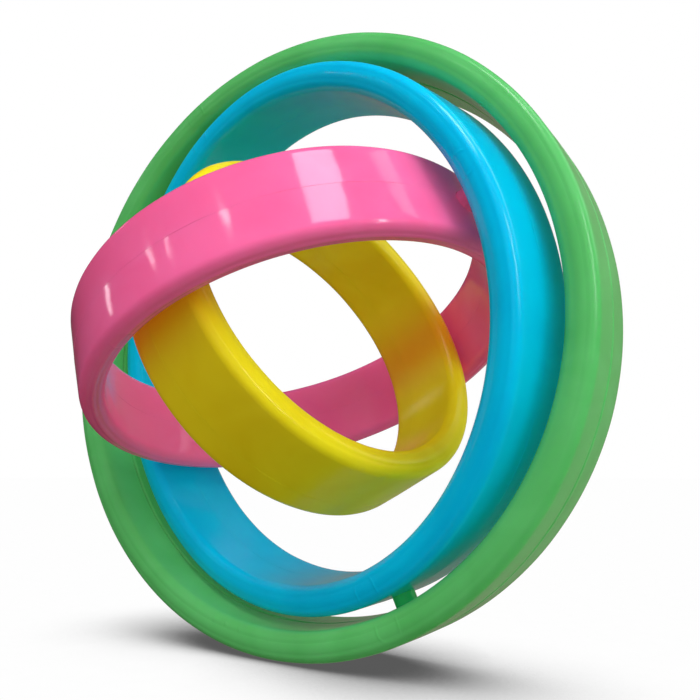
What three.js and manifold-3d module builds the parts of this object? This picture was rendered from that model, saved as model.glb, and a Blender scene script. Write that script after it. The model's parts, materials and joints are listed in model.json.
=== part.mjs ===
// Nested ring puzzle: four moulded plastic rings, one inside the other. Each ring turns without limit
// inside the next larger one on two short pins set opposite each other, and the pins of each ring stand
// a quarter turn round from those of the ring outside it. Every ring is two hollow half shells that
// meet at a seam in the plane of its pins and trap the pins' heads.
//
// Frame: millimetres, +Z up. The outermost ring stands upright on the floor with its own axis along Y.
// The origin is on the floor, straight below the common centre of the rings.

import * as THREE from "three";
import { mergeVertices } from "three/addons/utils/BufferGeometryUtils.js";
import Module from "manifold-3d";

// Outermost ring.
const OUTER_RADIUS = 45;
const GREEN_THICKNESS = 4.1;
const GREEN_FACETS = 48;

// Thickness of the three rings inside it, measured along the radius.
const BLUE_THICKNESS = 4.1;
const PINK_THICKNESS = 3.3;
const YELLOW_THICKNESS = 4.1;
const BLUE_FACETS = 44;
const PINK_FACETS = 40;
const YELLOW_FACETS = 36;

// Room left between the inner wall of a ring and the path of the corners of the ring turning in it.
const BLUE_SWEEP_CLEARANCE = 1.2;
const PINK_SWEEP_CLEARANCE = 2.2;
const YELLOW_SWEEP_CLEARANCE = 0.8;

// Band: its whole width along the ring's axis. The pins lie in its middle, except on the yellow ring,
// whose front face is nearer to them.
const BAND_WIDTH = 13.6;
const YELLOW_FRONT_WIDTH = 4.4;

// Rounding of the free edges, which never takes more than this share of a thin ring's thickness.
const EDGE_ROUNDING = 1.2;
const LARGEST_ROUNDING_SHARE = 0.45;
const EDGE_STEPS = 2;

// Half shells.
const SHELL_WALL = 1;
const SEAM_GAP = 0.3;

// Locating tabs that line the two halves up inside the shell.
const TAB_COUNT = 4;
const TAB_LENGTH = 5;
const TAB_REACH = 1.6;
const TAB_CLEARANCE = 0.3;
const TAB_ROOT_SINK = 0.3;

// Pins. The head stands out past the shank by the shoulder, all round.
const PIN_RADIUS = 1.5;
const PIN_HEAD_SHOULDER = 1.1;
const PIN_HOLE_CLEARANCE = 0.3;
const PIN_HEAD_CLEARANCE = 0.35;
const PIN_FACETS = 16;

// Pose: degrees. The first pin points down and to the right, then each ring is turned on its own pins.
const FIRST_PIN_ANGLE = 25;
const BLUE_TURN = 9.5;
const PINK_TURN = 83.5;
const YELLOW_TURN = -89;

const GREEN = 0x3fb660;
const BLUE = 0x00a6dc;
const PINK = 0xf06fae;
const YELLOW = 0xd8d23a;
const GREEN_PIN = 0x0b8a44;
const PLASTIC_ROUGHNESS = 0.25;

// Vertices closer than this are one vertex when a geometry becomes a solid.
const MERGE_DISTANCE = 1e-4;

const wasm = await Module();
wasm.setup();

/** Turns a closed three.js geometry into a manifold-3d solid. */
function solidFrom(geometry) {
  const bare = geometry.clone();
  bare.deleteAttribute("normal");
  bare.deleteAttribute("uv");
  const merged = mergeVertices(bare, MERGE_DISTANCE);
  return new wasm.Manifold(
    new wasm.Mesh({
      numProp: 3,
      vertProperties: merged.attributes.position.array,
      triVerts: new Uint32Array(merged.index.array),
    }),
  );
}

/** Turns a manifold-3d solid back into a three.js geometry. */
function geometryFrom(solid) {
  const { vertProperties, triVerts } = solid.getMesh();
  const geometry = new THREE.BufferGeometry();
  geometry.setAttribute("position", new THREE.BufferAttribute(vertProperties, 3));
  geometry.setIndex(new THREE.BufferAttribute(triVerts, 1));
  const flat = geometry.toNonIndexed();
  flat.computeVertexNormals();
  return flat;
}

function plastic(color) {
  return new THREE.MeshStandardMaterial({ color, roughness: PLASTIC_ROUGHNESS, metalness: 0 });
}

function named(name, geometry, color) {
  const mesh = new THREE.Mesh(geometry, plastic(color));
  mesh.name = name;
  return mesh;
}

/** Outer radius of a ring whose rounded corners clear the ring outside it through a whole turn. */
function nestedRadius(parentInnerRadius, sweepClearance, frontWidth) {
  const widestHalf = Math.max(frontWidth, BAND_WIDTH - frontWidth);
  const rounding = Math.min(EDGE_ROUNDING, widestHalf);
  const reach = parentInnerRadius - sweepClearance - rounding;
  return rounding + Math.sqrt(reach ** 2 - (widestHalf - rounding) ** 2);
}

/** Sizes of one ring. frontWidth and backWidth are measured from the plane of its pins. */
function ringSizes(outerRadius, thickness, facets, frontWidth) {
  return {
    outerRadius,
    innerRadius: outerRadius - thickness,
    channelOuter: outerRadius - SHELL_WALL,
    channelInner: outerRadius - thickness + SHELL_WALL,
    frontWidth,
    backWidth: BAND_WIDTH - frontWidth,
    rounding: Math.min(EDGE_ROUNDING, LARGEST_ROUNDING_SHARE * thickness),
    facets,
  };
}

function quarterArc(centreRadius, centreHeight, radius, startAngle) {
  const points = [];
  for (let step = 0; step <= EDGE_STEPS; step += 1) {
    const angle = startAngle + (step / EDGE_STEPS) * (Math.PI / 2);
    points.push(
      new THREE.Vector2(
        centreRadius + radius * Math.cos(angle),
        centreHeight + radius * Math.sin(angle),
      ),
    );
  }
  return points;
}

/** Section of a half shell: a channel open at the seam, its free edges rounded. */
function halfSection(ring, width) {
  const { outerRadius, innerRadius, channelOuter, channelInner, rounding } = ring;
  const seam = SEAM_GAP / 2;
  const floor = width - SHELL_WALL;
  return [
    new THREE.Vector2(outerRadius, seam),
    ...quarterArc(outerRadius - rounding, width - rounding, rounding, 0),
    ...quarterArc(innerRadius + rounding, width - rounding, rounding, Math.PI / 2),
    new THREE.Vector2(innerRadius, seam),
    new THREE.Vector2(channelInner, seam),
    new THREE.Vector2(channelInner, floor),
    new THREE.Vector2(channelOuter, floor),
    new THREE.Vector2(channelOuter, seam),
    new THREE.Vector2(outerRadius, seam),
  ];
}

/** A half shell about the Y axis, on the +Y side of the seam when side is 1 and on the -Y side when -1. */
function halfShell(ring, side, phase) {
  const width = side > 0 ? ring.backWidth : ring.frontWidth;
  const section = halfSection(ring, width).map((p) => new THREE.Vector2(p.x, side * p.y));
  if (side < 0) section.reverse();
  return solidFrom(new THREE.LatheGeometry(section, ring.facets, phase));
}

/** A rod along the line from the centre at the given angle about Y, between two distances from it. */
function radialRod(radius, from, to, angle) {
  const rod = new THREE.CylinderGeometry(radius, radius, to - from, PIN_FACETS);
  rod.rotateX(Math.PI / 2);
  rod.translate(0, 0, (from + to) / 2);
  rod.rotateY(angle);
  return solidFrom(rod);
}

/** A block in the channel: radial thickness, length along the ring, from one height to another. */
function channelBlock(inner, outer, length, low, high, angle) {
  const block = new THREE.BoxGeometry(length, high - low, outer - inner);
  block.translate(0, (low + high) / 2, (inner + outer) / 2);
  block.rotateY(angle);
  return solidFrom(block);
}

/** The tabs of the front half: each is rooted in its channel and reaches across the seam. */
function addTabs(shell, ring) {
  const floor = -(ring.frontWidth - SHELL_WALL) - TAB_ROOT_SINK;
  const reach = Math.min(TAB_REACH, ring.backWidth - SHELL_WALL - TAB_CLEARANCE);
  const seam = -SEAM_GAP / 2;
  let whole = shell;
  for (let tab = 0; tab < TAB_COUNT; tab += 1) {
    const angle = Math.PI / TAB_COUNT + (tab * 2 * Math.PI) / TAB_COUNT;
    const rootInner = ring.channelInner - TAB_ROOT_SINK;
    const rootOuter = ring.channelOuter + TAB_ROOT_SINK;
    whole = whole.add(channelBlock(rootInner, rootOuter, TAB_LENGTH, floor, seam, angle));
    const tongueInner = ring.channelInner + TAB_CLEARANCE;
    const tongueOuter = ring.channelOuter - TAB_CLEARANCE;
    whole = whole.add(
      channelBlock(tongueInner, tongueOuter, TAB_LENGTH, seam - TAB_ROOT_SINK, reach, angle),
    );
  }
  return whole;
}

/** Half-round seats at the seam, through one wall of the ring, for two opposite pins. */
function cutPinSeats(shell, from, to, angle) {
  const radius = PIN_RADIUS + PIN_HOLE_CLEARANCE;
  return shell
    .subtract(radialRod(radius, from, to, angle))
    .subtract(radialRod(radius, from, to, angle + Math.PI));
}

/**
 * Both halves of a ring. Its own pins, by which it hangs in the ring outside, lie along local X and
 * pass through the outer wall; the pins of the ring inside it lie along local Z, through the inner wall.
 */
function ringHalves(name, ring, color, phase, hasOwnPins, hasChildPins) {
  const outerWall = [(ring.channelInner + ring.channelOuter) / 2, ring.outerRadius + SHELL_WALL];
  const innerWall = [ring.innerRadius - SHELL_WALL, (ring.channelInner + ring.channelOuter) / 2];
  return [-1, 1].map((side) => {
    let shell = halfShell(ring, side, phase);
    if (side < 0) shell = addTabs(shell, ring);
    if (hasOwnPins) shell = cutPinSeats(shell, outerWall[0], outerWall[1], Math.PI / 2);
    if (hasChildPins) shell = cutPinSeats(shell, innerWall[0], innerWall[1], 0);
    const half = side < 0 ? "front_half" : "back_half";
    return named(`${name}_ring_${half}`, geometryFrom(shell), color);
  });
}

/** A pin along +Z from the centre, headed inside the channels of the two rings that it joins. */
function pinGeometry(parent, child) {
  const headRadius = PIN_RADIUS + PIN_HEAD_SHOULDER;
  const childHeadLow = child.channelInner + PIN_HEAD_CLEARANCE;
  const childHeadHigh = child.channelOuter - PIN_HEAD_CLEARANCE;
  const parentHeadLow = parent.channelInner + PIN_HEAD_CLEARANCE;
  const parentHeadHigh = parent.channelOuter - PIN_HEAD_CLEARANCE;
  const profile = [
    new THREE.Vector2(0, childHeadLow),
    new THREE.Vector2(headRadius, childHeadLow),
    new THREE.Vector2(headRadius, childHeadHigh),
    new THREE.Vector2(PIN_RADIUS, childHeadHigh),
    new THREE.Vector2(PIN_RADIUS, parentHeadLow),
    new THREE.Vector2(headRadius, parentHeadLow),
    new THREE.Vector2(headRadius, parentHeadHigh),
    new THREE.Vector2(0, parentHeadHigh),
  ];
  const pin = new THREE.LatheGeometry(profile, PIN_FACETS);
  pin.rotateX(Math.PI / 2);
  return pin;
}

/** The two pins on a parent ring's local Z axis. The first name is the pin on the +Z side. */
function pinPair(names, parent, child, color) {
  return names.map((name, index) => {
    const pin = named(name, pinGeometry(parent, child), color);
    pin.rotation.y = index * Math.PI;
    return pin;
  });
}

/** A ring hung in its parent: its local X falls on the parent's Z, then it turns about that line. */
function hungRing(turnDegrees) {
  const group = new THREE.Group();
  group.rotation.set(THREE.MathUtils.degToRad(turnDegrees), -Math.PI / 2, 0, "YXZ");
  return group;
}

const middle = BAND_WIDTH / 2;
const green = ringSizes(OUTER_RADIUS, GREEN_THICKNESS, GREEN_FACETS, middle);
const blueRadius = nestedRadius(green.innerRadius, BLUE_SWEEP_CLEARANCE, middle);
const blue = ringSizes(blueRadius, BLUE_THICKNESS, BLUE_FACETS, middle);
const pinkRadius = nestedRadius(blue.innerRadius, PINK_SWEEP_CLEARANCE, middle);
const pink = ringSizes(pinkRadius, PINK_THICKNESS, PINK_FACETS, middle);
const yellowRadius = nestedRadius(pink.innerRadius, YELLOW_SWEEP_CLEARANCE, YELLOW_FRONT_WIDTH);
const yellow = ringSizes(yellowRadius, YELLOW_THICKNESS, YELLOW_FACETS, YELLOW_FRONT_WIDTH);

// The outer ring's frame is turned about Y so that its local Z is the line of the first pins, and its
// facets are turned back by the same angle so that one flat lies squarely on the floor.
const greenFrameAngle = Math.PI - THREE.MathUtils.degToRad(FIRST_PIN_ANGLE);
const greenRing = new THREE.Group();
greenRing.rotation.y = greenFrameAngle;
greenRing.position.z = OUTER_RADIUS * Math.cos(Math.PI / GREEN_FACETS);
const greenPhase = Math.PI / GREEN_FACETS - greenFrameAngle;
greenRing.add(...ringHalves("green", green, GREEN, greenPhase, false, true));
greenRing.add(...pinPair(["green_blue_pin_lower", "green_blue_pin_upper"], green, blue, GREEN_PIN));

const blueRing = hungRing(BLUE_TURN);
blueRing.add(...ringHalves("blue", blue, BLUE, Math.PI / BLUE_FACETS, true, true));
blueRing.add(...pinPair(["blue_pink_pin_right", "blue_pink_pin_left"], blue, pink, PINK));

const pinkRing = hungRing(PINK_TURN);
pinkRing.add(...ringHalves("pink", pink, PINK, Math.PI / PINK_FACETS, true, true));
pinkRing.add(...pinPair(["pink_yellow_pin_front", "pink_yellow_pin_rear"], pink, yellow, PINK));

const yellowRing = hungRing(YELLOW_TURN);
yellowRing.add(...ringHalves("yellow", yellow, YELLOW, Math.PI / YELLOW_FACETS, true, false));

greenRing.add(blueRing);
blueRing.add(pinkRing);
pinkRing.add(yellowRing);

const puzzle = new THREE.Group();
puzzle.add(greenRing);

export default puzzle;
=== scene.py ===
"""Nested ring puzzle: the finished look of four moulded plastic rings and the pins that join them.

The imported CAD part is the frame. Every ring and pin is measured on its CAD nodes, built again as a fine
surface in the same place, and made to ride on the same body.
"""

import json
import logging
import math
from dataclasses import dataclass
from enum import Enum
from typing import Optional, Sequence, Union

import bpy
import numpy as np
from mathutils import Matrix, Vector

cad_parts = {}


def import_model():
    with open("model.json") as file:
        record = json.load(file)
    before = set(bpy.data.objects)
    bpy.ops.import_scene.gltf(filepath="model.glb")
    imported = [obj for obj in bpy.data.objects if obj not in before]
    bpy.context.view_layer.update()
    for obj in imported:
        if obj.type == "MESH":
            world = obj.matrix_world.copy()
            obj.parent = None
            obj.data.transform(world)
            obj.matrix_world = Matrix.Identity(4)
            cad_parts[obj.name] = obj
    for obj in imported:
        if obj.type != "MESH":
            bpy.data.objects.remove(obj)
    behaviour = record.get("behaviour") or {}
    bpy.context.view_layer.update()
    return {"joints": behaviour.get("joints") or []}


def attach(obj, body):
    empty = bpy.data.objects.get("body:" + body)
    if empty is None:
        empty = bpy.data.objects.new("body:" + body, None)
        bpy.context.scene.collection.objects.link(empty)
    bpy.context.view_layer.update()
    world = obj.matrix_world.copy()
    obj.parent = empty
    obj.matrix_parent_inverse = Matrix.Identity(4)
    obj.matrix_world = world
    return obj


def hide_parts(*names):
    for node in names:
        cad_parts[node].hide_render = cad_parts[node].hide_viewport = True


MM = 0.001
LOG = logging.getLogger("ring_puzzle")

# Names of the point attributes that the meshes carry for their finishes.
WEAR = "rub"
# A ring's share of painted bounce light, strongest next to the pins that it hangs on.
PAINTED_BOUNCE_NEAR_PIN = "painted_bounce_near_pin"

# Numbers of the colour sockets of a Mix node.
MIX_FIRST, MIX_SECOND, MIX_RESULT = 6, 7, 2

# Angles about a ring's axis: of the pins that it carries, and of those that it hangs on.
CHILD_PINS = (0.0, math.pi)
OWN_PINS = (math.pi / 2, 3 * math.pi / 2)

# Cosine of the angle within which two faces count as parallel, and the angle of a sharp edge.
PARALLEL = 0.9999
SHARP_EDGE = math.radians(50)

# The seam's stray: amplitude, waves in a turn, share of the ring's phase.
SEAM_WAVES = ((1.0, 3, 1.0), (0.7, 8, 2.1), (0.4, 21, 0.3))

# The skin's waviness: amplitude, waves in a turn, share of the half's phase, and radians for each
# metre of height and of radius.
SKIN_WAVES = (
    (1.0, 9, 1.0, 260, 0),
    (0.7, 17, -1.3, -420, 0),
    (0.45, 31, 0.7, 0, 700),
)


class Side(Enum):
    """Which half shell of a ring: its face looks along minus or plus the ring's own axis."""

    FRONT = -1
    BACK = 1


class Wall(Enum):
    """The surfaces of a ring on which a moulding mark can sit."""

    OUTER = "outer"
    FACE = "face"
    INNER = "inner"


# ---------------------------------------------------------------------------------------------------
# Finishes


def linear(hex_colour: str) -> tuple[float, float, float, float]:
    """Turn an sRGB hex colour into the linear values that a shader works in.

    Args:
        hex_colour: six hexadecimal digits, with or without a leading hash.

    Returns:
        Linear red, green and blue, and an alpha of one.
    """
    digits = hex_colour.lstrip("#")
    values = []
    for start in (0, 2, 4):
        share = int(digits[start : start + 2], 16) / 255
        values.append(share / 12.92 if share <= 0.04045 else ((share + 0.055) / 1.055) ** 2.4)
    return (values[0], values[1], values[2], 1.0)


def add_node(
    tree: bpy.types.NodeTree,
    kind: str,
    settings: Optional[dict] = None,
    links: Optional[dict] = None,
) -> bpy.types.Node:
    """Add one shader node with its settings and its links.

    Args:
        tree: the node tree that the node joins.
        kind: the node's type name.
        settings: properties by name, or input values by socket name or number.
        links: output sockets by the name or number of the input that each feeds.

    Returns:
        The new node.
    """
    node = tree.nodes.new(kind)
    for name, value in (settings or {}).items():
        if isinstance(name, int) or name in node.inputs:
            node.inputs[name].default_value = value
        else:
            setattr(node, name, value)
    for name, output in (links or {}).items():
        tree.links.new(output, node.inputs[name])
    return node


def add_noise(
    tree: bpy.types.NodeTree,
    place: bpy.types.NodeSocket,
    size: float,
    detail: float,
    roughness: float = 0.5,
    distortion: float = 0.0,
) -> bpy.types.NodeSocket:
    """Add a noise texture.

    Args:
        tree: the node tree that the node joins.
        place: the coordinates that it reads.
        size: about how big its blotches are, in metres.
        detail: how many finer layers it has.
        roughness: how strong the finer layers are.
        distortion: how far the blotches are twisted.

    Returns:
        The noise's value.
    """
    settings = {"Scale": 1 / size, "Detail": detail, "Roughness": roughness, "Distortion": distortion}
    return add_node(tree, "ShaderNodeTexNoise", settings, {"Vector": place}).outputs["Fac"]


def add_range(
    tree: bpy.types.NodeTree,
    value: bpy.types.NodeSocket,
    taken: tuple[float, float],
    given: tuple[float, float] = (0.0, 1.0),
    interpolation: str = "LINEAR",
) -> bpy.types.NodeSocket:
    """Add a node that turns one span of values into another.

    Args:
        tree: the node tree that the node joins.
        value: the value that it reads.
        taken: the span of values that come in.
        given: the span of values that go out.
        interpolation: how it moves from one end to the other.

    Returns:
        The value that goes out.
    """
    settings = {
        "interpolation_type": interpolation,
        "From Min": taken[0],
        "From Max": taken[1],
        "To Min": given[0],
        "To Max": given[1],
    }
    return add_node(tree, "ShaderNodeMapRange", settings, {"Value": value}).outputs["Result"]


def add_colour_mix(
    tree: bpy.types.NodeTree,
    share: bpy.types.NodeSocket,
    first: Union[str, bpy.types.NodeSocket],
    second: str,
) -> bpy.types.NodeSocket:
    """Add a mix of two colours.

    Args:
        tree: the node tree that the node joins.
        share: how much of the second colour there is.
        first: a hex colour, or the output that gives the colour.
        second: a hex colour.

    Returns:
        The mixed colour.
    """
    settings = {"data_type": "RGBA", MIX_SECOND: linear(second)}
    links = {"Factor": share}
    if isinstance(first, str):
        settings[MIX_FIRST] = linear(first)
    else:
        links[MIX_FIRST] = first
    return add_node(tree, "ShaderNodeMix", settings, links).outputs[MIX_RESULT]


def add_bump(
    tree: bpy.types.NodeTree,
    height: bpy.types.NodeSocket,
    strength: float,
    depth: float,
    below: Optional[bpy.types.NodeSocket] = None,
) -> bpy.types.NodeSocket:
    """Add relief to the skin.

    Args:
        tree: the node tree that the node joins.
        height: the relief's height, from nought to one.
        strength: how much of the relief is shown.
        depth: how deep the relief is, in metres.
        below: the normal of coarser relief that this one lies on.

    Returns:
        The bent normal.
    """
    links = {"Height": height}
    if below is not None:
        links["Normal"] = below
    settings = {"Strength": strength, "Distance": depth}
    return add_node(tree, "ShaderNodeBump", settings, links).outputs["Normal"]


def new_material(name: str) -> bpy.types.Material:
    """Make an empty node material."""
    material = bpy.data.materials.new(name)
    material.use_nodes = True
    material.node_tree.nodes.clear()
    return material


@dataclass(frozen=True)
class MouldedPlastic:
    """Injection-moulded polypropylene: glossy skin over a faintly cloudy, evenly coloured body.

    The polished mould gives sharp reflections that waver a little where the wall has shrunk, the clear
    resin lets light creep a millimetre or so under the edges, and handling leaves fine hairlines.

    body and deep are the two shades that flow into each other. painted_bounce_tint, if given, is painted
    bounce light from the next ring, put into the colour next to the pins it hangs on. A span is the stretch
    of a noise's values that is used.
    """

    name: str
    body: str
    deep: str
    glow: tuple[float, float, float]
    roughness: float
    cloudiness: float = 0.3
    creep: float = 1.5 * MM
    refraction: float = 1.4
    painted_bounce_tint: str = ""
    swirl_size: float = 14 * MM
    swirl_twist: float = 1.2
    swirl_span: tuple[float, float] = (0.35, 0.7)
    hairline_size: float = 0.25 * MM
    hairline_stretch: tuple[float, float, float] = (1.0, 0.06, 0.25)
    hairline_turn: tuple[float, float, float] = (0.4, 0.9, 0.3)
    smear_share: float = 0.6
    dulling_span: tuple[float, float] = (0.1, 0.45)
    sharper: float = 0.015
    duller: float = 0.02
    edge_wear: float = 0.04
    hollow_size: float = 5 * MM
    hollow_depth: float = 0.08 * MM
    hollow_strength: float = 0.5
    peel_size: float = 1.1 * MM
    peel_depth: float = 0.01 * MM
    peel_strength: float = 0.2

    def colour(self, tree: bpy.types.NodeTree, place: bpy.types.NodeSocket) -> bpy.types.NodeSocket:
        """Give the body's colour: broad soft streaks one shade apart, with painted bounce light next to the
        pins.
        """
        swirl = add_noise(tree, place, self.swirl_size, 3.0, 0.45, self.swirl_twist)
        body = add_colour_mix(tree, add_range(tree, swirl, self.swirl_span), self.body, self.deep)
        # Painted bounce light: next to the pins the colour turns to the tint, which stands in for light
        # thrown from the next ring.
        if self.painted_bounce_tint:
            near = add_node(tree, "ShaderNodeAttribute", {"attribute_name": PAINTED_BOUNCE_NEAR_PIN})
            body = add_colour_mix(tree, near.outputs["Fac"], body, self.painted_bounce_tint)
        return body

    def dullness(self, tree: bpy.types.NodeTree, place: bpy.types.NodeSocket) -> bpy.types.NodeSocket:
        """Give the roughness: long thin hairlines where hands smeared it, and worn edges."""
        stretched = add_node(
            tree,
            "ShaderNodeMapping",
            {"Scale": self.hairline_stretch, "Rotation": self.hairline_turn},
            {"Vector": place},
        )
        hairs = add_noise(tree, stretched.outputs["Vector"], self.hairline_size, 2.0, 0.6)
        smears = add_noise(tree, place, self.swirl_size * self.smear_share, 4.0, 0.6)
        dulling = add_node(tree, "ShaderNodeMath", {"operation": "MULTIPLY"}, {0: hairs, 1: smears})
        worn = add_node(tree, "ShaderNodeAttribute", {"attribute_name": WEAR})
        rough = add_range(
            tree,
            dulling.outputs["Value"],
            self.dulling_span,
            (self.roughness - self.sharper, self.roughness + self.duller),
        )
        return add_node(
            tree,
            "ShaderNodeMath",
            {"operation": "MULTIPLY_ADD", "use_clamp": True, 1: self.edge_wear},
            {0: worn.outputs["Fac"], 2: rough},
        ).outputs["Value"]

    def skin(self, tree: bpy.types.NodeTree, place: bpy.types.NodeSocket) -> bpy.types.NodeSocket:
        """Give the normal: broad hollows that bend every reflection a little, and fine orange peel."""
        hollows = add_noise(tree, place, self.hollow_size, 1.0, 0.4)
        broad = add_bump(tree, hollows, self.hollow_strength, self.hollow_depth)
        peel = add_noise(tree, place, self.peel_size, 2.0)
        return add_bump(tree, peel, self.peel_strength, self.peel_depth, broad)

    def build(self) -> bpy.types.Material:
        """Make the node material."""
        material = new_material(self.name)
        tree = material.node_tree
        place = add_node(tree, "ShaderNodeTexCoord").outputs["Object"]
        shader = add_node(
            tree,
            "ShaderNodeBsdfPrincipled",
            {
                "IOR": self.refraction,
                "Subsurface Weight": self.cloudiness,
                "Subsurface Radius": self.glow,
                "Subsurface Scale": self.creep,
            },
            {
                "Base Color": self.colour(tree, place),
                "Roughness": self.dullness(tree, place),
                "Normal": self.skin(tree, place),
            },
        )
        add_node(tree, "ShaderNodeOutputMaterial", None, {"Surface": shader.outputs["BSDF"]})
        return material


GREEN_PP = MouldedPlastic(
    "moulded_polypropylene_green", "61c470", "57ba64", (0.35, 1.0, 0.4), roughness=0.2
)
GREEN_PIN_PP = MouldedPlastic(
    "moulded_polypropylene_dark_green", "34cf78", "2ec26c", (0.2, 1.0, 0.4), roughness=0.12
)
BLUE_PP = MouldedPlastic(
    "moulded_polypropylene_blue",
    "00c4f2",
    "00baea",
    (0.15, 0.7, 1.0),
    roughness=0.13,
    refraction=1.34,
)
PINK_PP = MouldedPlastic(
    "moulded_polypropylene_pink", "f96ca5", "f6629b", (1.0, 0.35, 0.6), roughness=0.09
)
YELLOW_PP = MouldedPlastic(
    "moulded_polypropylene_yellow",
    "ead61c",
    "e2c911",
    (1.0, 0.85, 0.2),
    roughness=0.2,
    refraction=1.28,
    # Orange painted bounce light from the pink ring, next to the pins that the yellow ring hangs on.
    painted_bounce_tint="e27f1a",
)


@dataclass(frozen=True)
class StudioPaper:
    """White paper under the object that glows evenly, with a painted shadow: only what stands on it dims
    its glow.

    A spot that sees less than darkest_sky of open sky within shadow_reach glows at shadow_level, and
    one that sees more than white_sky glows in full.
    """

    name: str = "glowing_paper_painted_shadow"
    body: str = "ffffff"
    shade: str = "fdfdfd"
    grain_size: float = 3 * MM
    shadow_reach: float = 25 * MM
    shadow_samples: int = 16
    darkest_sky: float = 0.24
    white_sky: float = 0.93
    shadow_level: float = 0.10

    def build(self) -> bpy.types.Material:
        """Make the node material."""
        material = new_material(self.name)
        tree = material.node_tree
        place = add_node(tree, "ShaderNodeTexCoord").outputs["Object"]
        colour = add_colour_mix(
            tree, add_noise(tree, place, self.grain_size, 3.0), self.body, self.shade
        )
        # Painted shadow: the glow is dimmed where the rings hide the open sky, not by the lamps' light.
        sky = {"samples": self.shadow_samples, "Distance": self.shadow_reach}
        strength = add_range(
            tree,
            add_node(tree, "ShaderNodeAmbientOcclusion", sky).outputs["AO"],
            (self.darkest_sky, self.white_sky),
            (self.shadow_level, 1.0),
            "SMOOTHSTEP",
        )
        paper = add_node(tree, "ShaderNodeEmission", None, {"Color": colour, "Strength": strength})
        add_node(tree, "ShaderNodeOutputMaterial", None, {"Surface": paper.outputs[0]})
        return material


# ---------------------------------------------------------------------------------------------------
# Measuring the CAD frame


def node_points(node: str) -> np.ndarray:
    """Give a CAD node's vertices, one row each, in metres."""
    mesh = bpy.data.objects[node].data
    points = np.zeros(len(mesh.vertices) * 3)
    mesh.vertices.foreach_get("co", points)
    return points.reshape(-1, 3)


def widest_normal(node: str) -> np.ndarray:
    """Find the direction in which a CAD node has most flat area, which on a ring is its own axis.

    Args:
        node: name of a half shell's CAD node.

    Returns:
        A unit vector, of either sign.
    """
    mesh = bpy.data.objects[node].data
    count = len(mesh.polygons)
    normals = np.zeros(count * 3)
    areas = np.zeros(count)
    mesh.polygons.foreach_get("normal", normals)
    mesh.polygons.foreach_get("area", areas)
    normals = normals.reshape(-1, 3)
    alike = np.abs(normals @ normals.T) > PARALLEL
    best = normals[int((alike * areas).sum(axis=1).argmax())]
    return best / np.linalg.norm(best)


@dataclass
class RingFrame:
    """Where a ring lies and how big it is, all read from its two CAD half shells.

    own is the line of the pins that hang the ring, child that of the pins it carries, and axis the
    ring's own axis, which points from the front half to the back half.
    """

    centre: np.ndarray
    own: np.ndarray
    axis: np.ndarray
    child: np.ndarray
    outer: float
    inner: float
    front: float
    back: float

    def matrix(self) -> Matrix:
        """Give the transform from the ring's local axes (own, axis, child) to the CAD frame."""
        rows = np.eye(4)
        rows[:3, 0] = self.own
        rows[:3, 1] = self.axis
        rows[:3, 2] = self.child
        rows[:3, 3] = self.centre
        return Matrix(rows.tolist())

    def width(self, side: Side) -> float:
        """Give the distance from the seam to the face of one half."""
        return self.front if side is Side.FRONT else self.back


def measure_ring(
    ring: str, centre: np.ndarray, own: Optional[np.ndarray], child: Optional[np.ndarray]
) -> RingFrame:
    """Read a ring's place and size from its CAD nodes.

    Args:
        ring: the ring's colour name, with which its nodes' names start.
        centre: the common centre of the rings.
        own: direction of the pins that hang it, or None for the outermost ring.
        child: direction of the pins it carries, or None for the innermost ring.

    Returns:
        The ring's frame.
    """
    front = node_points(f"{ring}_ring_front_half") - centre
    back = node_points(f"{ring}_ring_back_half") - centre
    axis = widest_normal(f"{ring}_ring_front_half")
    if (front @ axis).mean() > (back @ axis).mean():
        axis = -axis
    if own is None:
        own = np.cross(axis, child)
    if child is None:
        child = np.cross(own, axis)
    both = np.vstack([front, back])
    along = both @ axis
    away = np.linalg.norm(both - np.outer(along, axis), axis=1)
    # In CAD the outermost rim is a polygon that rests on a facet: the round one touches the floor.
    outer = min(away.max(), centre[2])
    return RingFrame(centre, own, axis, child, outer, away.min(), -along.min(), along.max())


# ---------------------------------------------------------------------------------------------------
# Mesh work


def turned_from(angles: np.ndarray, start: float) -> np.ndarray:
    """Give how far each angle lies from a start, between minus and plus half a turn."""
    return np.mod(angles - start + math.pi, 2 * math.pi) - math.pi


def add_attribute(mesh: bpy.types.Mesh, name: str, values: np.ndarray) -> None:
    """Keep one number for each of a mesh's points, under a name that a finish can read."""
    attribute = mesh.attributes.new(name, "FLOAT", "POINT")
    attribute.data.foreach_set("value", values.astype(np.float32).ravel())


def add_piece(name: str, mesh: bpy.types.Mesh, finish: bpy.types.Material) -> bpy.types.Object:
    """Dress a mesh and put it into the scene as a piece."""
    mesh.materials.append(finish)
    piece = bpy.data.objects.new(name, mesh)
    bpy.context.scene.collection.objects.link(piece)
    return piece


def mesh_from_grid(name: str, grid: np.ndarray, rub: np.ndarray, flip: bool) -> bpy.types.Mesh:
    """Skin a grid of points that closes on itself both ways.

    Args:
        name: the mesh's name.
        grid: points as an array of stations, columns and three coordinates.
        rub: handling wear of each point, from nought to one.
        flip: True to turn the faces round.

    Returns:
        The new mesh, with its wear kept as an attribute.
    """
    stations, columns = grid.shape[:2]
    first = np.arange(stations)[:, None]
    column = np.arange(columns)[None, :]
    after = (first + 1) % stations
    beside = (column + 1) % columns
    corners = [
        first * columns + column,
        first * columns + beside,
        after * columns + beside,
        after * columns + column,
    ]
    if flip:
        corners.reverse()
    faces = np.stack([np.broadcast_to(c, (stations, columns)) for c in corners], axis=-1)
    mesh = bpy.data.meshes.new(name)
    mesh.from_pydata(grid.reshape(-1, 3).tolist(), [], faces.reshape(-1, 4).tolist())
    add_attribute(mesh, WEAR, rub)
    mesh.shade_smooth()
    mesh.set_sharp_from_angle(angle=SHARP_EDGE)
    mesh.update()
    return mesh


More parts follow.
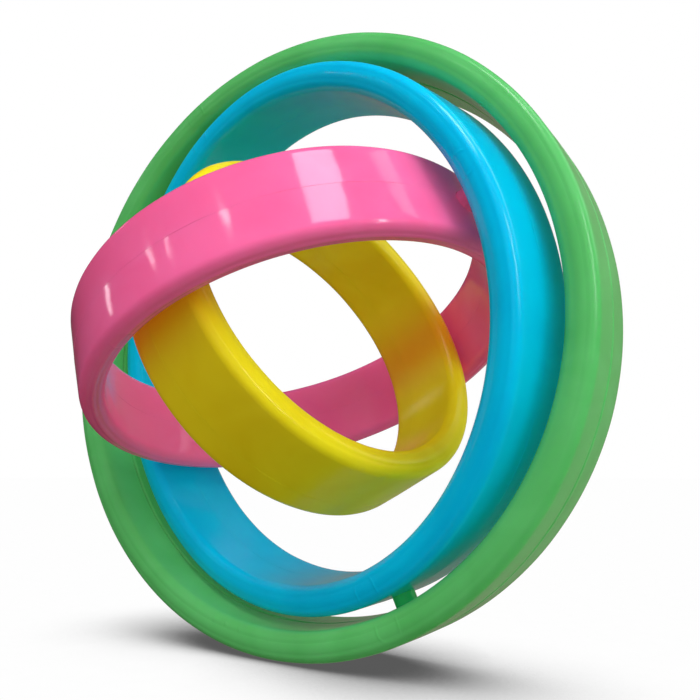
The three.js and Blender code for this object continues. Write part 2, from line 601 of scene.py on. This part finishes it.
@dataclass
class Mark:
    """A moulding mark on one wall of one half: a small dent, or a bead if its depth is below nought.

    angle is about the ring's axis. along is a radius on the face, and a height from the seam on a wall.
    stretch is how much longer the mark is round the ring than across it.
    """

    side: Side
    wall: Wall
    angle: float
    along: float
    depth: float
    size: float
    stretch: float = 1.0


@dataclass
class HalfShell:
    """One moulded half of a ring: a channel with rounded edges, seats for pins and a seam edge.

    Lengths are in metres. seam_gap is the whole gap between the two halves, lip_guard the distance from
    the seam's lip to the first column of the wall, draft the walls' taper and sink the depth of the
    skin's waviness. painted_bounce_strength and painted_bounce_reach say how strong the painted bounce
    light next to the pins is and how far it goes. The ghosts are faint outlines of the pins' seats on the
    face. A mark on the face shows above face_share of the width, and the draft narrows the skin where
    its normal's part across the axis is over wall_share. collar is how far from a pin's middle the
    stations lie closer.
    """

    ring: str
    frame: RingFrame
    side: Side
    finish: bpy.types.Material
    seat_radius: float
    carries_pins: bool
    hung_on_pins: bool
    marks: Sequence[Mark]
    seam_rounding: float
    seam_gap: float
    rounding: float = 1.35 * MM
    crown: float = 0.12 * MM
    seam_wander: float = 0.05 * MM
    lip_guard: float = 0.05 * MM
    wall: float = 1.0 * MM
    draft: float = 0.06 * MM
    sink: float = 0.016 * MM
    # Strength and reach of the painted bounce light next to the pins.
    painted_bounce_strength: float = 0.7
    painted_bounce_reach: float = 7 * MM
    ghost_depth: float = 0.035 * MM
    ghost_line: float = 0.16 * MM
    ghost_inset: float = 2.2 * MM
    ghost_below: float = 0.4 * MM
    ghost_fade: float = 0.3 * MM
    face_share: float = 0.8
    wall_share: float = 0.5
    stations: int = 420
    seat_stations: int = 25
    collar: float = 2.6 * MM
    collar_stations: int = 41
    mark_reach: float = 3
    mark_stations: int = 25
    closest_stations: float = 2e-5
    wall_steps: int = 7
    face_steps: int = 22
    edge_steps: int = 8
    seam_steps: int = 4
    channel_columns: int = 4

    def phase(self) -> int:
        """Give a phase of its own to each ring."""
        return sum(map(ord, self.ring))

    def seed(self) -> float:
        """Give a phase of its own to each half, so that no two mouldings are alike."""
        return 1.7 * self.phase() + 0.9 * self.side.value

    def radius_of(self, wall: Wall) -> float:
        """Give the radius of the outer or the inner wall."""
        return self.frame.outer if wall is Wall.OUTER else self.frame.inner

    def seats(self, wall: Wall) -> tuple[float, ...]:
        """Give the angles about the axis of the pins that pass through the outer or the inner wall."""
        if wall is Wall.OUTER:
            return OWN_PINS if self.hung_on_pins else ()
        return CHILD_PINS if self.carries_pins else ()

    def angles(self) -> np.ndarray:
        """Space the stations round the ring: even, and closer where there is something small."""
        parts = [np.linspace(0, 2 * math.pi, self.stations, endpoint=False)]
        for wall in (Wall.INNER, Wall.OUTER):
            radius = self.radius_of(wall)
            rim = self.seat_radius * np.cos(np.linspace(0, math.pi, self.seat_stations)) / radius
            collar = np.linspace(-self.collar, self.collar, self.collar_stations) / radius
            for angle in self.seats(wall):
                parts += [angle + rim, angle + collar]
        for mark in self.marks:
            if mark.side is self.side:
                reach = self.mark_reach * mark.size * mark.stretch / self.frame.outer
                parts.append(mark.angle + np.linspace(-reach, reach, self.mark_stations))
        joined = np.unique(np.round(np.mod(np.concatenate(parts), 2 * math.pi), 6))
        spread = np.diff(joined, append=joined[0] + 2 * math.pi)
        return joined[spread > self.closest_stations]

    def seam_height(self, angles: np.ndarray, wall: Wall) -> np.ndarray:
        """Give the height of the seam edge, which rises over each pin seat as half a circle.

        Args:
            angles: the stations.
            wall: OUTER or INNER, the wall whose edge is wanted.

        Returns:
            One height for each station.
        """
        height = np.full(len(angles), self.seam_gap / 2)
        for seat in self.seats(wall):
            offset = turned_from(angles, seat) * self.radius_of(wall)
            inside = np.clip(self.seat_radius**2 - offset**2, 0, None)
            height = np.maximum(height, np.sqrt(inside))
        return height

    def wander(self, angles: np.ndarray) -> np.ndarray:
        """Give how far the seam strays from its plane, the same for both halves of a ring."""
        phase = self.phase()
        waves = sum(
            amplitude * np.sin(count * angles + share * phase)
            for amplitude, count, share in SEAM_WAVES
        )
        return self.seam_wander * waves / 2

    def section(self, angles: np.ndarray) -> tuple[np.ndarray, np.ndarray, np.ndarray, np.ndarray]:
        """Lay out the section at every station.

        Args:
            angles: the stations.

        Returns:
            Radius, height from the seam, and the outward normal's two parts, each stations by columns.
        """
        ring = self.frame
        width = ring.width(self.side)
        rim = width - self.crown
        outer_seam = self.seam_height(angles, Wall.OUTER)
        inner_seam = self.seam_height(angles, Wall.INNER)
        flat = np.ones(len(angles))
        columns = []

        def put(radius: float, height: np.ndarray, across: float, up: float) -> None:
            """Add one column of points with its normal."""
            columns.append((flat * radius, height, flat * across, flat * up))

        def edge(radius: float, seam: np.ndarray, direction: int, outwards: bool) -> None:
            """Add the rounded lip of a wall at the seam."""
            for step in range(self.seam_steps + 1):
                share = step / self.seam_steps
                turn = (share if outwards else 1 - share) * math.pi / 2
                away = self.seam_rounding * (1 - math.sin(turn))
                up = self.seam_rounding * (1 - math.cos(turn))
                put(
                    radius - direction * away,
                    seam + up,
                    direction * math.sin(turn),
                    -math.cos(turn),
                )

        def straight(radius: float, seam: np.ndarray, direction: int, rising: bool) -> None:
            """Add the straight stretch of a wall between its lip and its rounded edge."""
            low = seam + self.seam_rounding
            high = rim - self.rounding
            guard = self.lip_guard / (high - low)
            shares = [guard, *(step / self.wall_steps for step in range(1, self.wall_steps))]
            for share in shares if rising else reversed(shares):
                put(radius, low + (high - low) * share, direction, 0.0)

        def corner(centre: float, start: float) -> None:
            """Add a quarter round between a wall and the face."""
            for step in range(self.edge_steps + 1):
                turn = start + step / self.edge_steps * math.pi / 2
                put(
                    centre + self.rounding * math.cos(turn),
                    flat * (rim - self.rounding + self.rounding * math.sin(turn)),
                    math.cos(turn),
                    math.sin(turn),
                )

        edge(ring.outer, outer_seam, 1, True)
        straight(ring.outer, outer_seam, 1, True)
        corner(ring.outer - self.rounding, 0.0)
        face_from = ring.outer - self.rounding
        face_to = ring.inner + self.rounding
        for step in range(1, self.face_steps):
            share = step / self.face_steps
            crowned = width - self.crown * (2 * share - 1) ** 2
            put(face_from + (face_to - face_from) * share, flat * crowned, 0.0, 1.0)
        corner(ring.inner + self.rounding, math.pi / 2)
        straight(ring.inner, inner_seam, -1, False)
        edge(ring.inner, inner_seam, -1, False)
        put(ring.inner + self.wall, inner_seam, 0.0, -1.0)
        put(ring.inner + self.wall, flat * (width - self.wall), 1.0, 0.0)
        put(ring.outer - self.wall, flat * (width - self.wall), -1.0, 0.0)
        put(ring.outer - self.wall, outer_seam, 0.0, -1.0)
        radius, height, across, up = (np.stack(part, axis=1) for part in zip(*columns))
        return radius, height, across, up

    def relief(self, angles: np.ndarray, radius: np.ndarray, height: np.ndarray) -> np.ndarray:
        """Give how far the skin stands off its true surface: shrinkage, ghosts of pins, and marks.

        Args:
            angles: the stations, as a column.
            radius: radius of each point.
            height: height of each point from the seam.

        Returns:
            The distance along the outward normal, in metres.
        """
        seed = self.seed()
        waves = sum(
            amplitude * np.sin(count * angles + share * seed + rise * height + spread * radius)
            for amplitude, count, share, rise, spread in SKIN_WAVES
        )
        off = self.sink * waves / 2
        width = self.frame.width(self.side)
        middle = (self.frame.outer + self.frame.inner) / 2
        on_face = np.clip((height - (width - self.ghost_below)) / self.ghost_fade, 0, 1)
        for wall in (Wall.INNER, Wall.OUTER):
            if wall is Wall.INNER:
                beyond = np.clip(radius - (self.frame.outer - self.ghost_inset), 0, None)
            else:
                beyond = np.clip(self.frame.inner + self.ghost_inset - radius, 0, None)
            for angle in self.seats(wall):
                across = turned_from(angles, angle) * middle
                outline = np.abs(np.hypot(across, beyond) - self.seat_radius) / self.ghost_line
                off = off + self.ghost_depth * np.exp(-(outline**2)) * on_face
        for mark in self.marks:
            if mark.side is not self.side:
                continue
            across = angles * self.frame.outer - mark.angle * self.frame.outer
            if mark.wall is Wall.FACE:
                along = radius - mark.along
                there = height > self.face_share * width
            else:
                along = height - mark.along
                is_outer = radius > middle
                there = is_outer if mark.wall is Wall.OUTER else ~is_outer
            span = (across / (mark.size * mark.stretch)) ** 2 + (along / mark.size) ** 2
            off = off - mark.depth * np.exp(-span) * there
        return off

    def build(self) -> bpy.types.Object:
        """Make the half shell's object and dress it."""
        angles = self.angles()
        radius, height, across, up = self.section(angles)
        off = self.relief(angles[:, None], radius, height)
        off[:, -self.channel_columns :] = 0
        rise = np.clip(height / self.frame.width(self.side), 0, 1)
        on_wall = np.abs(across) > self.wall_share
        tapered = radius - self.draft * rise * np.sign(across) * on_wall
        done = tapered + off * across
        sign = self.side.value
        level = sign * (height + off * up) + self.wander(angles)[:, None] * (1 - rise)
        grid = np.stack(
            [done * np.sin(angles)[:, None], level, done * np.cos(angles)[:, None]], axis=-1
        )
        # Wear grows from nought on the walls and the face to one in the middle of their edge.
        rub = np.abs(across * up) * 2
        name = f"{self.ring}_shell_{self.side.name.lower()}"
        mesh = mesh_from_grid(name, grid, rub, flip=sign > 0)
        # Painted bounce light: a share that fades away from the pins the ring hangs on, kept for the finish
        # to read.
        to_pin = np.abs(np.mod(angles, math.pi) - math.pi / 2) * self.frame.outer
        near = self.painted_bounce_strength * np.exp(-((to_pin / self.painted_bounce_reach) ** 2))
        add_attribute(mesh, PAINTED_BOUNCE_NEAR_PIN, np.repeat(near, radius.shape[1]))
        mesh.transform(self.frame.matrix())
        return add_piece(name, mesh, self.finish)


@dataclass
class Pin:
    """A headed pin: a shank across the gap between two rings, and a head in each ring's channel.

    edge is the rounding of every edge, and also how far the shank flares where it meets a head. ridge is
    the height of the fine ridges that the mould's parting line leaves along two sides, ridge_spread the
    square of their half width in radians, and ridge_flank an angle that takes in their rising side.
    """

    node: str
    centre: np.ndarray
    direction: np.ndarray
    finish: bpy.types.Material
    edge: float = 0.18 * MM
    ridge: float = 0.07 * MM
    ridge_spread: float = 0.004
    ridge_flank: float = 0.2
    ridge_from: float = 0.5 * MM
    tip: float = 0.02 * MM
    edge_wear: float = 1.0
    shank_wear: float = 0.2
    shank_share: float = 0.45
    facets: int = 96
    edge_steps: int = 4
    shank_steps: int = 12
    flare_share: float = 0.25

    def levels(self) -> tuple[np.ndarray, float, float]:
        """Read the pin's steps from its CAD node.

        Returns:
            The steps' distances from the common centre, the shank's radius and the heads' radius.
        """
        points = node_points(self.node) - self.centre
        along = points @ self.direction
        if along.mean() < 0:
            self.direction = -self.direction
            along = -along
        away = np.linalg.norm(points - np.outer(along, self.direction), axis=1)
        steps = np.unique(np.round(along / MM, 3)) * MM
        # Points near the axis belong to the end faces. Of the rest, those of the shank are the nearest.
        shank = away[away > self.shank_share * away.max()].min()
        return steps, shank, away.max()

    def outline(self) -> list[tuple[float, float, float]]:
        """Lay out the pin's profile with every edge rounded.

        Returns:
            Radius, distance along the pin, and wear, from the child's end to the parent's.
        """
        steps, shank, head = self.levels()
        low, child_top, parent_low, high = steps[0], steps[1], steps[-2], steps[-1]
        points: list[tuple[float, float, float]] = [(self.tip, low, 0.0)]

        def rounded(radius: float, level: float, start: float) -> None:
            """Add a quarter round whose centre is given."""
            for step in range(self.edge_steps + 1):
                turn = start + step / self.edge_steps * math.pi / 2
                out = radius + self.edge * math.cos(turn)
                points.append((out, level + self.edge * math.sin(turn), self.edge_wear))

        rounded(head - self.edge, low + self.edge, -math.pi / 2)
        rounded(head - self.edge, child_top - self.edge, 0.0)
        for step in range(self.shank_steps + 1):
            share = step / self.shank_steps
            clear = min(1, min(share, 1 - share) / self.flare_share)
            flare = self.edge * (1 - math.sin(math.pi * clear / 2))
            level = child_top + (parent_low - child_top) * share
            points.append((shank + flare, level, self.shank_wear))
        rounded(head - self.edge, parent_low + self.edge, -math.pi / 2)
        rounded(head - self.edge, high - self.edge, 0.0)
        points.append((self.tip, high, 0.0))
        return points

    def build(self) -> bpy.types.Object:
        """Make the pin's object and dress it."""
        outline = np.array(self.outline())
        radii, levels, wear = (outline[None, :, part] for part in range(3))
        turns = np.linspace(0, 2 * math.pi, self.facets, endpoint=False)
        past = np.mod(turns + self.ridge_flank, math.pi) - self.ridge_flank
        ridge = self.ridge * np.exp(-(past**2) / self.ridge_spread)
        rub = wear * np.ones((self.facets, 1))
        grown = radii + ridge[:, None] * (radii > self.ridge_from)
        side = Vector(self.direction.tolist()).orthogonal().normalized()
        first = np.array(side)
        second = np.cross(self.direction, first)
        grid = (
            self.centre
            + grown[..., None] * np.cos(turns)[:, None, None] * first
            + grown[..., None] * np.sin(turns)[:, None, None] * second
            + levels[..., None] * self.direction
        )
        mesh = mesh_from_grid(f"{self.node}_turned", grid, rub, flip=True)
        return add_piece(f"{self.node}_body", mesh, self.finish)


# ---------------------------------------------------------------------------------------------------
# Sub-assemblies


@dataclass
class Ring:
    """A ring: two half shells on one body, with the pins that it carries for the ring inside it."""

    colour: str
    body: str
    slot: str
    finish: bpy.types.Material
    frame: RingFrame
    pins: Sequence[str] = ()
    pin_slot: str = ""
    pin_finish: Optional[bpy.types.Material] = None
    hung: bool = True
    marks: Sequence[Mark] = ()
    seat_radius: float = 1.62 * MM
    seam_rounding: float = 0.02 * MM
    seam_gap: float = 0.006 * MM

    def build(self) -> list[bpy.types.Object]:
        """Build every piece of the ring, put it on the ring's body and hide its CAD node."""
        pieces = []
        for side in Side:
            shell = HalfShell(
                ring=self.colour,
                frame=self.frame,
                side=side,
                finish=self.finish,
                seat_radius=self.seat_radius,
                carries_pins=bool(self.pins),
                hung_on_pins=self.hung,
                marks=self.marks,
                seam_rounding=self.seam_rounding,
                seam_gap=self.seam_gap,
            ).build()
            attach(shell, self.body)
            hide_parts(f"{self.colour}_ring_{side.name.lower()}_half")
            pieces.append(shell)
        for node in self.pins:
            pin = Pin(node, self.frame.centre, self.frame.child, self.pin_finish).build()
            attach(pin, self.body)
            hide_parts(node)
            pieces.append(pin)
        return pieces


@dataclass(frozen=True)
class Lamp:
    """A softbox that faces the rings: its direction from them, its size as they see it, its radiance.

    Width and height are angles in degrees. A lamp that only lights leaves no reflection, and one that
    only mirrors is a highlight and no more. A lamp without shadows stands in for the light that comes
    through the thin plastic.
    """

    name: str
    towards: tuple[float, float, float]
    width: float
    height: float
    radiance: float
    distance: float = 2.0
    lights: bool = True
    mirrors: bool = True
    shadows: bool = True
    colour: str = "ffffff"

    def hang(self, centre: Vector) -> None:
        """Add the lamp to the scene, facing the given centre."""
        data = bpy.data.lights.new(self.name, "AREA")
        data.shape = "RECTANGLE"
        data.size = 2 * self.distance * math.tan(math.radians(self.width / 2))
        data.size_y = 2 * self.distance * math.tan(math.radians(self.height / 2))
        data.energy = self.radiance * math.pi * data.size * data.size_y
        data.color = linear(self.colour)[:3]
        data.use_shadow = self.shadows
        lamp = bpy.data.objects.new(self.name, data)
        towards = Vector(self.towards).normalized()
        lamp.location = centre + towards * self.distance
        lamp.rotation_mode = "QUATERNION"
        lamp.rotation_quaternion = towards.to_track_quat("Z", "Y")
        lamp.visible_diffuse = self.lights
        lamp.visible_glossy = self.mirrors
        lamp.visible_camera = False
        bpy.context.scene.collection.objects.link(lamp)


# The outer ring's gate scar on its outer edge, and beads of cement squeezed out beside the first pin.
GREEN_MARKS = (
    Mark(Side.FRONT, Wall.FACE, math.radians(-90.2), 44.0 * MM, 0.16 * MM, 0.28 * MM, 2.2),
    Mark(Side.FRONT, Wall.FACE, math.radians(39.2), 41.8 * MM, -0.09 * MM, 0.16 * MM),
    Mark(Side.FRONT, Wall.FACE, math.radians(36.3), 41.5 * MM, -0.12 * MM, 0.20 * MM),
    Mark(Side.FRONT, Wall.FACE, math.radians(32.8), 41.6 * MM, -0.08 * MM, 0.14 * MM),
    Mark(Side.BACK, Wall.OUTER, math.radians(142), 3.0 * MM, 0.05 * MM, 0.35 * MM),
)

LAMPS = (
    Lamp("overhead_window", (0.322, -0.274, 0.906), 14.5, 19, 8.5, colour="fff6ff"),
    Lamp("near_key", (0.62, -0.50, 0.60), 28, 28, 2.2, distance=0.2, mirrors=False),
    Lamp("top_card", (-0.15, -0.62, 0.77), 30, 30, 1.2, mirrors=False),
    Lamp("right_card", (0.93, -0.05, 0.36), 30, 30, 2.4, mirrors=False),
    Lamp("right_fill", (0.93, -0.20, 0.30), 30, 30, 1.7, mirrors=False, shadows=False),
    Lamp("back_card", (0.25, 0.80, -0.55), 50, 50, 2.4, mirrors=False, colour="fff2d8"),
    Lamp("left_card", (-0.70, -0.70, 0.10), 30, 30, 0.6, mirrors=False, colour="fff2e0"),
    Lamp("front_fill", (0.45, -0.85, 0.10), 30, 30, 1.2, mirrors=False, shadows=False),
    Lamp("top_fill", (0.45, -0.35, 0.82), 30, 30, 2.3, mirrors=False, shadows=False),
    Lamp("floor_bounce", (-0.15, -0.62, -0.77), 30, 30, 1.6, mirrors=False, shadows=False, colour="ffe9c4"),
    Lamp("through_green", (0.80, 0.42, -0.42), 30, 30, 2.2, mirrors=False, shadows=False, colour="68e868"),
    Lamp("right_strip", (0.90, -0.20, 0.35), 4, 30, 14, lights=False),
    Lamp("high_strip", (0.43, 0.29, 0.855), 14, 16, 2.0, lights=False),
    Lamp("back_glare", (0.62, 0.55, 0.56), 20, 30, 1.4, lights=False),
    Lamp("front_glint_near", (-0.146, -0.673, 0.725), 3, 2.2, 14, lights=False),
    Lamp("front_glint_middle", (-0.523, -0.657, 0.542), 1.3, 2, 10, lights=False),
    Lamp("front_glint_far", (-0.644, -0.602, 0.472), 1.6, 2.2, 12, lights=False),
    Lamp("left_glint_low", (-0.909, -0.314, 0.275), 1.8, 3, 7, lights=False),
    Lamp("left_glint_high", (-0.84, 0.0, 0.55), 4, 4, 4, lights=False),
)


@dataclass
class Studio:
    """White paper floor, soft lamps, a room of paper and the camera.

    The room lights matt surfaces by room_glow between the heights of room_span. Glossy ones mirror
    another room, brightest towards wall_side, by wall_glow between the cosines of wall_span.
    """

    centre: np.ndarray
    eye: tuple[float, float, float] = (61.8 * MM, -82.8 * MM, -20.3 * MM)
    azimuth: float = 32.85
    climb: float = 10.13
    focal: float = 35.65
    sensor: float = 36.0
    nearest: float = 0.005
    farthest: float = 20
    floor_half: float = 4.0
    room_span: tuple[float, float] = (-0.8, 0.9)
    room_glow: tuple[float, float] = (0.12, 0.48)
    wall_side: tuple[float, float, float] = (-0.1, 0.99, 0.0)
    wall_span: tuple[float, float] = (0.45, 1.0)
    wall_glow: tuple[float, float] = (0.03, 0.34)
    wall_colour: str = "f8e6d4"

    def floor(self) -> bpy.types.Object:
        """Lay the paper that the ring stands on."""
        half = self.floor_half
        mesh = bpy.data.meshes.new("studio_floor")
        corners = [(-half, -half, 0), (half, -half, 0), (half, half, 0), (-half, half, 0)]
        mesh.from_pydata(corners, [], [(0, 1, 2, 3)])
        mesh.materials.append(StudioPaper().build())
        floor = bpy.data.objects.new("studio_floor", mesh)
        floor.visible_diffuse = False
        floor.visible_glossy = False
        bpy.context.scene.collection.objects.link(floor)
        return floor

    def light(self) -> None:
        """Hang the lamps round the rings."""
        for lamp in LAMPS:
            lamp.hang(Vector(self.centre.tolist()))

    def surround(self) -> None:
        """Wrap the scene in a room of paper, plain white to the camera, dimmer to all that it lights."""
        world = bpy.data.worlds.new("paper_room")
        bpy.context.scene.world = world
        world.use_nodes = True
        tree = world.node_tree
        tree.nodes.clear()
        place = add_node(tree, "ShaderNodeTexCoord").outputs["Generated"]
        height = add_node(tree, "ShaderNodeSeparateXYZ", None, {"Vector": place}).outputs["Z"]
        glow = add_range(tree, height, self.room_span, self.room_glow)
        facing = add_node(
            tree, "ShaderNodeVectorMath", {"operation": "DOT_PRODUCT", 1: self.wall_side}, {0: place}
        )
        wall = add_range(tree, facing.outputs["Value"], self.wall_span, self.wall_glow)
        path = add_node(tree, "ShaderNodeLightPath").outputs
        white = {"Color": linear("ffffff")}
        tinted = {"Color": linear(self.wall_colour)}
        lit = add_node(tree, "ShaderNodeBackground", white, {"Strength": glow}).outputs[0]
        mirrored = add_node(tree, "ShaderNodeBackground", tinted, {"Strength": wall}).outputs[0]
        seen = add_node(tree, "ShaderNodeBackground", white).outputs[0]
        around = add_node(
            tree, "ShaderNodeMixShader", None, {0: path["Is Glossy Ray"], 1: lit, 2: mirrored}
        ).outputs[0]
        mixed = add_node(
            tree, "ShaderNodeMixShader", None, {0: path["Is Camera Ray"], 1: around, 2: seen}
        ).outputs[0]
        add_node(tree, "ShaderNodeOutputWorld", None, {"Surface": mixed})

    def camera(self) -> None:
        """Set the camera low and to the right of the rings, looking a little upwards."""
        data = bpy.data.cameras.new("camera")
        data.sensor_width = self.sensor
        data.lens = self.focal
        data.clip_start = self.nearest
        data.clip_end = self.farthest
        camera = bpy.data.objects.new("camera", data)
        camera.location = Vector(self.centre.tolist()) + Vector(self.eye)
        around = math.radians(self.azimuth)
        up = math.radians(self.climb)
        forward = Vector(
            (-math.sin(around) * math.cos(up), math.cos(around) * math.cos(up), math.sin(up))
        )
        camera.rotation_mode = "QUATERNION"
        camera.rotation_quaternion = forward.to_track_quat("-Z", "Y")
        bpy.context.scene.collection.objects.link(camera)
        bpy.context.scene.camera = camera

    def build(self) -> None:
        """Set up the whole studio."""
        self.floor()
        self.light()
        self.surround()
        self.camera()
        bpy.context.scene.view_settings.view_transform = "Standard"


def main() -> None:
    """Load the frame, build each ring from the outside in, then the studio, and log each piece's face
    count.
    """
    logging.basicConfig(level=logging.INFO, format="%(message)s")
    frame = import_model()
    joints = {joint["name"]: joint for joint in frame["joints"]}
    centre = np.array(joints["blue_turn"]["pos_m"], float)
    first, second, third = (
        np.array(joints[name]["axis"], float) for name in ("blue_turn", "pink_turn", "yellow_turn")
    )

    green, green_pin = GREEN_PP.build(), GREEN_PIN_PP.build()
    blue, pink, yellow = BLUE_PP.build(), PINK_PP.build(), YELLOW_PP.build()
    rings = [
        Ring(
            "green",
            "outer_ring",
            "green_plastic",
            green,
            measure_ring("green", centre, None, first),
            ("green_blue_pin_lower", "green_blue_pin_upper"),
            "green_pin_plastic",
            green_pin,
            hung=False,
            marks=GREEN_MARKS,
            seam_rounding=0.3 * MM,
            seam_gap=0.16 * MM,
        ),
        Ring(
            "blue",
            "blue_ring",
            "blue_plastic",
            blue,
            measure_ring("blue", centre, first, second),
            ("blue_pink_pin_right", "blue_pink_pin_left"),
            "pink_plastic",
            pink,
        ),
        Ring(
            "pink",
            "pink_ring",
            "pink_plastic",
            pink,
            measure_ring("pink", centre, second, third),
            ("pink_yellow_pin_front", "pink_yellow_pin_rear"),
            "pink_plastic",
            pink,
            seam_rounding=0.03 * MM,
            seam_gap=0.004 * MM,
        ),
        Ring(
            "yellow",
            "yellow_ring",
            "yellow_plastic",
            yellow,
            measure_ring("yellow", centre, third, None),
        ),
    ]
    for ring in rings:
        for piece in ring.build():
            LOG.info("%s: %d faces on %s", piece.name, len(piece.data.polygons), ring.body)

    Studio(centre).build()


if __name__ == "__main__":
    main()
